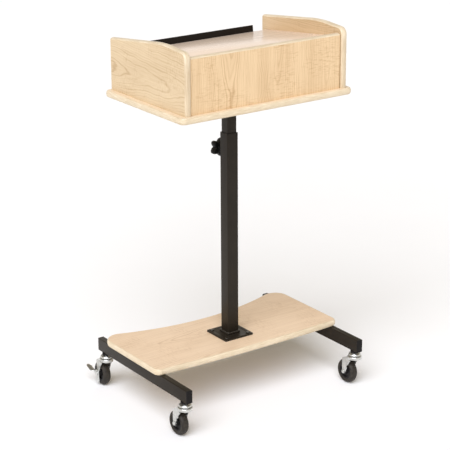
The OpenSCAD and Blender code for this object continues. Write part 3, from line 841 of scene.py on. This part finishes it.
def brake_lever(name, place, trail, axle_z):
    """A pressed lever: a plate with an eye and a lobe, whose upper edge folds out into a pedal."""
    # The rear right caster stands square to X, so its lever gives the plate's distance out.
    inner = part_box("rear_right_brake_lever")[1].x - JOINTS["rear_right_swivel_turn"]["pos_m"][0]
    sheet, fold, eye = 2.2 * MM, 3 * MM, 4.4 * MM
    rise = math.radians(12)
    web_end, tip, wide = 43 * MM, 53 * MM, 14.5 * MM
    top = 4 * MM - sheet / 2
    middle = inner - sheet / 2

    def at(reach, up):
        """A point of the plate, in (y, z) about the axle, from its place along the pedal."""
        return (
            reach * math.cos(rise) - up * math.sin(rise),
            reach * math.sin(rise) + up * math.cos(rise),
        )

    web_start, count_along = 14 * MM, 12
    stations = [
        web_start + (web_end - web_start) * i / count_along for i in range(count_along + 1)
    ]
    web_top = [at(reach, top - fold) for reach in reversed(stations)]
    low_line = [
        (*web_top[-1], 0), (11 * MM, 9 * MM, 5 * MM), (0, 13 * MM, 9 * MM),
        (-12.5 * MM, 8 * MM, 8 * MM), (-12.5 * MM, -8 * MM, 6 * MM),
        (-13.5 * MM, -20 * MM, 7 * MM), (-9 * MM, -28.4 * MM, 7 * MM),
        (5 * MM, -28.4 * MM, 8 * MM), (9.5 * MM, -18 * MM, 9 * MM),
        (*at(13 * MM, -6 * MM), 7 * MM), (*at(28 * MM, -4 * MM), 20 * MM),
        (*at(web_end, -1.5 * MM), 1.5 * MM), (*web_top[0], 0),
    ]
    outline = [Vector(p) for p in web_top] + rounded(low_line)[1:-1]
    points = [(middle, p.x, p.y) for p in outline]
    count = len(points)
    for p in outline:
        spoke = p.normalized() * eye
        points.append((middle, spoke.x, spoke.y))
    faces = [
        [k, (k + 1) % count, count + (k + 1) % count, count + k] for k in range(count)
    ]

    # The pedal grows wider along the web, and its outer edge dips.
    across, bends, dip = 12, 4, 1.6 * MM
    rows = [list(range(len(web_top)))]
    for step in range(1, across + 1):
        row = []
        for reach in reversed(stations):
            grown = smooth(min(1.0, (reach - web_start) / (9 * MM) + 0.28))
            span = fold + (wide - fold) * grown
            if step <= bends:
                bend = math.pi / 2 * step / bends
                out, up = fold * (1 - math.cos(bend)), top - fold + fold * math.sin(bend)
            else:
                share = (step - bends) / (across - bends)
                out = fold + (span - fold) * share
                up = top - dip * share ** 3 * grown
            y, z = at(reach, up)
            row.append(len(points))
            points.append((middle - out, y, z))
        rows.append(row)
    for near, far in zip(rows, rows[1:]):
        for k in range(len(stations) - 1):
            faces.append([near[k], near[k + 1], far[k + 1], far[k]])

    # Its round tip closes in from both sides.
    ring = [row[0] for row in rows[bends:]]
    for turn in range(1, bends + 1):
        angle = math.pi / 2 * turn / bends
        reach = web_end + (tip - web_end) * math.sin(angle)
        row = []
        for k in range(len(ring)):
            share = k / (len(ring) - 1)
            half = (wide - fold) / 2 * math.cos(angle)
            out = (fold + wide) / 2 + half * (2 * share - 1)
            droop = dip * (share ** 3 * math.cos(angle) + 0.6 * math.sin(angle) ** 3)
            y, z = at(reach, top - droop)
            row.append(len(points))
            points.append((middle - out, y, z))
        for k in range(len(ring) - 1):
            faces.append([ring[k], ring[k + 1], row[k + 1], row[k]])
        ring = row
    node = f"{name}_brake_lever"
    made = piece(
        f"{name}_brake_pressing", points, faces, BODY_OF[node], ["zinc"], [node],
        place=place @ Matrix.Translation((0, trail, axle_z)), sharp=60, weld=0.01 * MM,
    )
    wall = made.modifiers.new("wall", "SOLIDIFY")
    wall.thickness, wall.offset = sheet, 0
    edge = made.modifiers.new("edge", "BEVEL")
    edge.width, edge.segments, edge.limit_method = 0.5 * MM, 2, "ANGLE"
    edge.angle_limit = math.radians(50)


def casters():
    for name in CASTERS:
        place, trail, axle_z = caster_place(name)
        wheel = on_axle(place, trail, axle_z)
        stem(name, place)
        fork(name, place, trail, axle_z)
        tyre(name, wheel)
        eased(f"{name}_axle", "zinc", 0.7 * MM, 3)
        eased(f"{name}_hub", "hub", 0.7 * MM, 3)
        if f"{name}_brake_lever" in BODY_OF:
            brake_lever(name, place, trail, axle_z)


# ---- light and camera -----------------------------------------------------------------------


def floor():
    recipe = Recipe("pale_floor")
    mottle = recipe.noise(recipe.place, 3.0, 3)
    recipe.surface(
        Base_Color=recipe.blend(mottle, colour(0.96, 0.96, 0.96), colour(0.985, 0.985, 0.985)),
        Roughness=0.9,
        Specular_IOR_Level=0.2,
    )
    mesh = bpy.data.meshes.new("floor")
    reach = 40.0
    corners = [(-reach, -reach, 0), (reach, -reach, 0), (reach, reach, 0), (-reach, reach, 0)]
    mesh.from_pydata(corners, [], [[0, 1, 2, 3]])
    mesh.materials.append(recipe.material)
    made = bpy.data.objects.new("floor", mesh)
    bpy.context.scene.collection.objects.link(made)


def soft_sun(name, azimuth, elevation, strength, spread, tint=(1, 1, 1)):
    """A distant lamp as wide in the sky as a big soft box. Azimuths are as for the camera."""
    turn, climb = math.radians(azimuth), math.radians(elevation)
    way = Vector((
        math.sin(turn) * math.cos(climb), -math.cos(turn) * math.cos(climb), math.sin(climb)
    ))
    lamp = bpy.data.lights.new(name, "SUN")
    lamp.angle = math.radians(spread)
    lamp.energy = strength
    lamp.color = tint
    made = bpy.data.objects.new(name, lamp)
    made.rotation_euler = (-way).to_track_quat("-Z", "Y").to_euler()
    bpy.context.scene.collection.objects.link(made)


WARM_SKY = (1.0, 0.88, 0.68)
# Height in the sky, brightness and tint: white at the horizon, warm and dimmer higher up.
SKY = [(0.13, 1.0, (1.0, 1.0, 1.0)), (0.3, 0.74, WARM_SKY), (0.8, 0.2, WARM_SKY)]


def studio():
    """Soft light from the front left, in a white cove that is bright low down and dim overhead."""
    scene = bpy.context.scene
    scene.view_settings.view_transform = "Standard"
    scene.world = bpy.data.worlds.new("studio")
    scene.world.use_nodes = True
    tree = scene.world.node_tree
    place = tree.nodes.new("ShaderNodeTexCoord")
    split = tree.nodes.new("ShaderNodeSeparateXYZ")
    fade = tree.nodes.new("ShaderNodeValToRGB")
    fade.color_ramp.interpolation = "EASE"
    stops = fade.color_ramp.elements
    stops.new(1.0)
    for stop, (height, level, tint) in zip(stops, SKY):
        stop.position = height
        stop.color = colour(*(level * c for c in tint))
    tree.links.new(place.outputs["Generated"], split.inputs[0])
    tree.links.new(split.outputs["Z"], fade.inputs[0])
    tree.links.new(fade.outputs[0], tree.nodes["Background"].inputs["Color"])
    soft_sun("key", -48, 46, 3.14, 50, (0.975, 1.005, 1.09))
    floor()


def camera():
    azimuth, elevation, roll = (math.radians(a) for a in (-35.11, 18.97, -0.31))
    lens = bpy.data.cameras.new("camera")
    lens.lens, lens.sensor_width = 130.56, 36.0
    lens.clip_end = 200
    made = bpy.data.objects.new("camera", lens)
    turn = (
        Matrix.Rotation(azimuth, 4, "Z")
        @ Matrix.Rotation(math.pi / 2 - elevation, 4, "X")
        @ Matrix.Rotation(roll, 4, "Z")
    )
    made.matrix_world = Matrix.Translation((-2.6485, -3.7723, 2.0985)) @ turn
    bpy.context.scene.collection.objects.link(made)
    bpy.context.scene.camera = made


boards()
steelwork()
star_knob()
casters()
studio()
camera()
